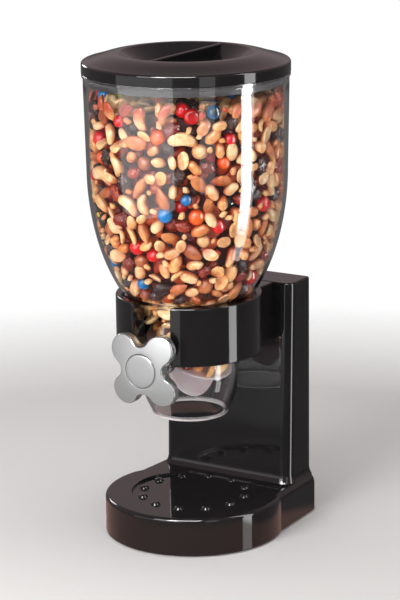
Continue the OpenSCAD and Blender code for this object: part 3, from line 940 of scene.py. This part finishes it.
def crumb(p, seed):
    """A broken piece of nut with flat breaks."""
    k = 0.8 + 0.5 * abs(noise.noise(p * 1.3 + Vector((seed * 3.7, seed, 0))))
    cut = min(1.0, 0.62 / max(0.05, abs(p.x * 0.6 + p.y * 0.8)))
    return (p.x * 3.9 * k * cut, p.y * 3.4 * k * cut, p.z * 2.3 * k)


def almond(p, seed):
    taper = 1 - 0.30 * (p.x + 1) / 2 - 0.22 * max(p.x, 0) ** 3
    ridge = 1 + 0.03 * sin(p.y * 16 + seed)
    k = lumpy(p, seed, 0.05, 1.3)
    return (p.x * 9.8 + 0.9 * max(p.x, 0) ** 5, p.y * 6.6 * taper * k, p.z * 4.1 * taper * ridge * k)


def cashew(p, seed):
    across = sqrt(max(1e-6, 1 - p.x * p.x))
    fat = 5.3 * across ** 0.72 * (1 - 0.16 * p.x) * lumpy(p, seed, 0.08)
    bend = 9.6
    angle = p.x * 1.25
    out = p.y / across * fat
    return ((bend + out) * sin(angle), (bend + out) * cos(angle) - bend * 0.75,
            p.z / across * fat * 0.86)


def raisin(p, seed):
    fold = abs(noise.noise(p * 2.6 + Vector((seed * 5.0, 0, seed))))
    fine = abs(noise.noise(p * 6.5 + Vector((0, seed * 4.0, seed))))
    k = 0.80 + 0.52 * fold + 0.30 * fine
    return (p.x * 7.4 * k, p.y * 5.4 * k, p.z * 4.3 * k)


def hazelnut(p, seed):
    k = lumpy(p, seed, 0.06)
    tip = 0.9 * max(p.x, 0) ** 8
    return (p.x * 6.1 * k + tip, p.y * 6.0 * k, p.z * 5.9 * k)


def sweet(p, seed):
    k = lumpy(p, seed, 0.03)
    return (p.x * 6.4 * k, p.y * 6.2 * k, p.z * 5.6 * k)


CREAM = [(0.0, (0.90, 0.40, 0.12)), (0.35, (0.96, 0.56, 0.23)), (0.7, (0.98, 0.68, 0.36)),
         (1.0, (0.74, 0.24, 0.05))]
TAN = [(0.0, (0.46, 0.11, 0.020)), (0.5, (0.66, 0.19, 0.045)), (1.0, (0.80, 0.31, 0.09))]
PALE = [(0.0, (0.95, 0.58, 0.24)), (1.0, (0.98, 0.75, 0.43))]
DARK = [(0.0, (0.022, 0.008, 0.008)), (1.0, (0.070, 0.020, 0.014))]
BERRY = [(0.0, (0.24, 0.012, 0.005)), (1.0, (0.48, 0.055, 0.010))]
HAZEL = [(0.0, (0.90, 0.60, 0.28)), (0.45, (0.92, 0.66, 0.36)), (0.55, (0.42, 0.12, 0.03)),
         (1.0, (0.55, 0.18, 0.05))]
SWEETS = [(0.0, (0.76, 0.008, 0.012)), (0.44, (0.90, 0.76, 0.01)), (0.60, (0.0, 0.22, 0.62)),
          (0.72, (0.90, 0.13, 0.01))]

KINDS = {
    # name: (maker, share, spacing radius, half thickness, material)
    "peanuts": (peanut, 22, 5.0, 4.4,
                food("peanut", CREAM, 0.34, (0.82, 0.42, 0.18), 900, 0.3, coat=0.2)),
    "peanut_halves": (peanut_half, 22, 5.1, 3.2,
                      food("split peanut", PALE, 0.42, (0.86, 0.52, 0.26), 900, 0.3)),
    "almonds": (almond, 15, 6.3, 4.0,
                food("almond", TAN, 0.42, (0.62, 0.44, 0.34), 1400, 0.6, subsurface=0.05)),
    "cashews": (cashew, 11, 8.0, 5.0,
                food("cashew", PALE, 0.32, (0.90, 0.56, 0.28), 500, 0.15, coat=0.15)),
    "raisins": (raisin, 15, 5.8, 4.6,
                food("raisin", DARK, 0.22, (0.6, 0.5, 0.5), 500, 1.2, coat=0.4, subsurface=0.0)),
    "berries": (raisin, 10, 5.8, 4.6,
                food("dried berry", BERRY, 0.22, (0.6, 0.4, 0.4), 700, 0.8, coat=0.5, subsurface=0.1)),
    "hazelnuts": (hazelnut, 4, 6.0, 6.0,
                  food("hazelnut", HAZEL, 0.40, (0.72, 0.48, 0.30), 900, 0.3)),
    "sweets": (sweet, 14, 6.1, 5.8,
               food("sugar shell", SWEETS, 0.2, (0.92, 0.9, 0.9), 300, 0.05, coat=0.5, steps="CONSTANT")),
    "crumbs": (crumb, 4, 2.9, 2.4,
               food("nut crumb", CREAM, 0.6, (0.80, 0.54, 0.30), 900, 0.4)),
}
VARIANTS = 4
TRIES = 40


class Pile:
    """Places pieces of food one by one, so that no two stand too close."""

    def __init__(self, seed):
        self.random = random.Random(seed)
        self.cells = {}
        self.placed = []

    def cell(self, place, step=(0, 0, 0)):
        """The key of the 16 mm cell that holds a place, or of one a step away."""
        return tuple(int(c // 16) + d for c, d in zip(place, step))

    def free(self, place, radius):
        for step in itertools.product((-1, 0, 1), repeat=3):
            for other, size in self.cells.get(self.cell(place, step), ()):
                if (other - place).length < (radius + size) * 0.93:
                    return False
        return True

    def add(self, kind, place, radius, turn):
        self.cells.setdefault(self.cell(place), []).append((place, radius))
        self.placed.append((kind, place, turn, self.random.randrange(VARIANTS)))

    def lying(self, normal):
        """A turn that lays a piece flat against a surface, either way up, give or take."""
        rng = self.random
        wobble = Euler((rng.choice((0, pi)) + rng.gauss(0, 0.42), rng.gauss(0, 0.42),
                        rng.uniform(0, tau)))
        return normal.to_track_quat("Z", "Y").to_matrix() @ wobble.to_matrix()

    def fill(self, sample, patience):
        """Gives each drawn kind a few tries, until many kinds in a row have found no room."""
        shares = [kind[1] for kind in KINDS.values()]
        misses = 0
        while misses < patience:
            kind = self.random.choices(list(KINDS), shares)[0]
            radius, thick = KINDS[kind][2:4]
            for _ in range(TRIES):
                found = sample(self.random, thick)
                if found and self.free(found[0], radius):
                    self.add(kind, found[0], radius, self.lying(found[1]))
                    misses = 0
                    break
            else:
                misses += 1


# The inside line of the hopper, and the running length along it, weighted by radius, for even
# sampling over the wall
INSIDE_LINE = [p for p in beside(hopper_line(), GLASS_T) if SHAFT_Z + 18 < p[1] < FILL_Z]
BANDS = [dist(a, b) * (a[0] + b[0]) / 2 for a, b in zip(INSIDE_LINE, INSIDE_LINE[1:])]
WALL_MARKS = [0.0, *itertools.accumulate(BANDS)]


def wall_sample(layer):
    """A sampler of places at a depth behind the hopper's inner wall."""
    def sample(rng, thick):
        goal = rng.uniform(0, WALL_MARKS[-1])
        i = next(k for k in range(1, len(WALL_MARKS)) if WALL_MARKS[k] >= goal)
        a, b = Vector(INSIDE_LINE[i - 1]), Vector(INSIDE_LINE[i])
        t = (goal - WALL_MARKS[i - 1]) / (WALL_MARKS[i] - WALL_MARKS[i - 1])
        along = (b - a).normalized()
        normal = Vector((-along.y, along.x))
        depth = thick + 0.5 + layer + rng.uniform(0, 0.8 if layer == 0 else 3)
        r, z = a.lerp(b, t) + normal * depth
        angle = rng.uniform(0, tau)
        place = polar(r, angle, z)
        if r < 6 or z > FILL_Z - 3 or (place - SHAFT).length < WHEEL_R + thick + 0.8:
            return None
        return place, polar(normal.x, angle, normal.y)
    return sample


def neck_sample(rng, thick):
    """Places in the neck, between the wheel and the heap's core."""
    radius = (NECK_R - GLASS_T - thick - 0.5) * sqrt(rng.random())
    place = polar(radius, rng.uniform(0, tau), rng.uniform(SHAFT_Z + 15, CORE_LOW + 4))
    if (place - SHAFT).length < WHEEL_R + thick + 0.8:
        return None
    return place, Vector((0, 0, 1))


def top_sample(rng, thick):
    """Places on the heap's gently mounded top."""
    radius = 74 * sqrt(rng.random())
    place = polar(radius, rng.uniform(0, tau), 0)
    place.z = FILL_Z - 7 + 3.5 * noise.noise(place * 0.03) + rng.uniform(-3, 0)
    return place, Vector((0, 0, 1))


def pocket_sample(low, high):
    """Places between two vanes of the wheel, clear of both and of the neck."""
    def sample(rng, thick):
        angle = radians(rng.uniform(low, high))
        reach = rng.uniform(SLEEVE_R + thick, WHEEL_R - 2)
        y = rng.uniform(-33, 33)
        place = Vector((reach * cos(angle), y, reach * sin(angle)))
        clear = min(reach * sin(radians(abs(degrees(angle) - edge))) for edge in (low, high))
        if place.length > WHEEL_R - thick * 0.75 - 0.4 or clear < thick * 0.8 + VANE_T / 2:
            return None
        return place + SHAFT, place.normalized()
    return sample


def held(point, carried):
    """Keeps food that rides on the wheel inside the ball that the wheel sweeps, and the rest out of
    it and inside the bell."""
    offset = point - SHAFT
    limit = min(offset.length, WHEEL_R - 0.3) if carried else max(offset.length, WHEEL_R + 0.2)
    point = SHAFT + offset * (limit / offset.length)
    if point.z > SHOULDER_Z:
        across = hypot(point.x, point.y)
        inside = min(1.0, (bell_radius(min(point.z, BELLY_Z)) - GLASS_T - 0.8) / max(across, 1.0))
        point = Vector((point.x * inside, point.y * inside, point.z))
    return point


def food_pieces(pile, prefix, body):
    """One mesh object per kind of food, from all the placed pieces."""
    carried = body == "paddle_wheel"
    for name, (maker, _, _, _, surface) in KINDS.items():
        shapes = [shaped(maker, i + 1) for i in range(VARIANTS)]
        points, faces = [], []
        for kind, place, turn, variant in pile.placed:
            if kind != name:
                continue
            base = len(points)
            size = 0.92 + 0.16 * noise.cell(place)
            points += [held(turn @ p * size + place, carried) for p in shapes[variant][0]]
            faces += [tuple(i + base for i in face) for face in shapes[variant][1]]
        if not faces:
            continue
        mesh = bpy.data.meshes.new(prefix + name)
        mesh.from_pydata([(p.x * MM, (p.y + AXIS_Y) * MM, p.z * MM) for p in points], [], faces)
        mesh.polygons.foreach_set("use_smooth", [True] * len(faces))
        mesh.materials.append(surface)
        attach(link(prefix + name, mesh), body)


def contents():
    pile = Pile(11)
    pile.fill(wall_sample(0), 160)
    pile.fill(neck_sample, 120)
    pile.fill(wall_sample(8.0), 30)
    pile.fill(top_sample, 30)
    food_pieces(pile, "contents_", "hopper")
    heap_core()
    carried = Pile(5)
    step = 360 / VANES
    first = degrees(VANE_ANGLE) - step
    for k in range(4):
        carried.fill(pocket_sample(first + step * k, first + step * (k + 1)), 60)
    food_pieces(carried, "carried_", "paddle_wheel")


def heap_core():
    """A dark solid of painted shade in the middle of the heap, behind the two outer layers of food, standing
    in for the shaded food there.
    """
    line = [(max(r - 17, 4), z) for r, z in beside(hopper_line(), GLASS_T) if CORE_LOW < z < FILL_Z - 16]
    path = [(0, line[0][1])] + line + [(0, line[-1][1])]
    bm = bmesh.new()
    revolve(bm, path, 96)
    for vert in bm.verts:
        vert.co *= 1 + 0.02 * noise.noise(vert.co * 0.12)
    # Painted shade: dark red-browns that stand in for the shade deep inside the heap
    painted_shade_browns = [(0.0, (0.09, 0.018, 0.005)), (1.0, (0.12, 0.025, 0.007))]
    core = food("heap shade", painted_shade_browns, 0.9, grey(0.5), 120, 1.0)
    mesh_object("contents_core", bm, "hopper", "clear_plastic", surface=core)


# ---- stage, light and camera ----

def stage_floor():
    """Pale floor that fades into the pale background. Mirror rays don't see it: they meet a painted
    reflection, a glowing dim warm tone near the base, and an open floor on the camera's right."""
    n = material("pale floor")
    place = n.vector_math("LENGTH", n.position())
    fade = n.ramp(place, [(0.42, grey(0)), (0.80, grey(1))])
    grain = n.noise(300, 2)
    pale = n.mix(grain, (0.86, 0.85, 0.84), (0.88, 0.87, 0.86))
    surface = n.add("BsdfDiffuse", {"Color": pale}).outputs[0]
    # Painted reflection: mirror rays see this glowing warm tone near the base and a dim grey one further out,
    # not the lit floor
    near = n.ramp(place, [(0.14, (0.62, 0.36, 0.30)), (0.16, (0.20, 0.18, 0.18))])
    painted_reflection_glow = n.add("Emission", {"Color": near}).outputs[0]
    to_right = (cos(VIEW_TURN), sin(VIEW_TURN), 0)
    right = n.vector_math("DOT_PRODUCT", n.position(), to_right)
    open_side = n.ramp(right, [(0.105, grey(0.3)), (0.12, grey(1))])
    clear = n.add("BsdfTransparent").outputs[0]
    glossy = n.add("LightPath").outputs["Is Glossy Ray"]
    surface = n.blend(glossy, surface, n.blend(open_side, painted_reflection_glow, clear))
    bm = bmesh.new()
    bmesh.ops.create_circle(bm, cap_ends=True, segments=96, radius=1.0)
    floor = link("stage_floor", as_mesh("stage floor", bm))
    floor.data.materials.append(n.finish(n.blend(fade, surface, clear)))


def camera():
    right = Vector((cos(VIEW_TURN), sin(VIEW_TURN), 0))
    up = right.cross(VIEW_AHEAD)
    c, s = cos(VIEW_ROLL), sin(VIEW_ROLL)
    right, up = right * c + up * s, up * c - right * s
    data = bpy.data.cameras.new("camera")
    data.lens = LENS
    data.sensor_width = 36
    made = link("camera", data)
    basis = Matrix((right, up, -VIEW_AHEAD)).transposed().to_4x4()
    made.matrix_world = Matrix.Translation(VIEW_AIM - VIEW_AHEAD * VIEW_DISTANCE) @ basis
    bpy.context.scene.camera = made


def area_light(name, place, turn, width, height, strength, seen):
    """Soft rectangular light that only some rays see: diffuse (D), glossy (G) and those that pass
    through the clear wall (T)."""
    data = bpy.data.lights.new(name, "AREA")
    data.shape = "RECTANGLE"
    data.size, data.size_y = width, height
    data.energy = strength * width * height * pi
    made = link(name, data)
    made.location, made.rotation_euler = place, turn
    made.visible_camera = False
    made.visible_diffuse, made.visible_glossy, made.visible_transmission = (kind in seen for kind in "DGT")


def card(name, bearing, distance, width, low, high, strength, tilt=0.0, seen="DG"):
    """Upright light at a bearing in degrees to the right of the camera's own direction, leaning by
    a tilt towards the object."""
    angle = radians(bearing - 90) + VIEW_TURN
    x, y = cos(angle), sin(angle)
    place = Vector((x * distance, y * distance + AXIS_Y * MM, (low + high) / 2))
    inwards = Vector((-x, -y, -tan(radians(tilt))))
    turn = inwards.to_track_quat("-Z", "Y").to_euler()
    area_light(name, place, turn, width, high - low, strength, seen)


def world():
    """Pale behind the object, a dim warm room in reflections, and even light for bounce."""
    made = bpy.data.worlds.new("studio")
    n = Nodes(made)
    path = n.add("LightPath")
    direction = n.add("TexCoord").outputs["Generated"]
    height = n.split(direction)["Z"]
    room = n.ramp(n.spread(height, 0.5, 0.5),
                  [(0.0, (0.14, 0.13, 0.13)), (0.42, (0.14, 0.13, 0.13)), (0.49, (0.10, 0.09, 0.095)),
                   (0.60, (0.40, 0.31, 0.32)), (0.78, (0.38, 0.28, 0.29)), (1.0, (0.20, 0.18, 0.19))])
    along = n.vector_math("DOT_PRODUCT", direction, VIEW_AHEAD)
    bent = n.ramp(along, [(0.86, (0.40, 0.37, 0.38)), (0.97, grey(1))])
    colour = n.mix(path.outputs["Is Transmission Ray"], grey(1.02), bent)
    colour = n.mix(path.outputs["Is Glossy Ray"], colour, room)
    colour = n.mix(path.outputs["Is Diffuse Ray"], colour, (0.33, 0.31, 0.31))
    back = n.add("Background", {"Color": colour, "Strength": 1.0}).outputs[0]
    n.add("OutputWorld", {"Surface": back})
    bpy.context.scene.world = made


def lights():
    card("strip", 69, 0.62, 0.148, -0.24, 1.0, 6.2, seen="G")
    for distance, low, strength in ((0.625, -0.06, 9.5), (0.630, -0.03, 9.5), (0.635, 0.0, 8.0)):
        card("strip in the clear wall", 67.6, distance, 0.148, low, 1.0, strength, seen="T")
    card("soft wide", -47, 1.35, 1.75, -0.30, 0.40, 0.95, seen="G")
    card("veil in the clear wall", -47, 1.36, 1.75, -0.30, 1.4, 3.1, seen="T")
    card("dim strip", 22.5, 1.5, 0.44, -0.08, 1.2, 1.1, seen="DGT")
    card("key", -37, 1.3, 0.8, 0.42, 1.10, 5.8, tilt=22, seen="DG")
    card("slot fill", -34, 1.1, 0.4, 0.0, 0.40, 11.0, seen="D")
    card("front high", -13, 1.3, 1.1, 1.06, 1.66, 22.0, tilt=43, seen="G")
    card("highlights", -30, 1.3, 0.34, 0.78, 1.02, 40.0, tilt=30, seen="G")
    card("spout fill", -8, 1.1, 0.35, 0.05, 0.25, 9.0, seen="D")
    card("left window", -146, 1.2, 0.30, 0.45, 0.75, 8.0, seen="G")
    area_light("top", (0.05, 0.0, 1.5), (0, 0, VIEW_TURN), 0.9, 0.7, 2.4, "D")


# ---- assembly ----

base_body()
column()
collar_body()
hopper_body()
lid_cover()
knob_body()
knob_badge()
paddle_vanes()
contents()

SLOTS = {part["node"]: part["material_slot"] for part in frame["record"]["subparts"]}
for node, piece in frame["nodes"].items():
    piece.data.materials.clear()
    piece.data.materials.append(MATERIALS[SLOTS[node]])

stage_floor()
world()
lights()
camera()
bpy.context.scene.view_settings.view_transform = "Standard"
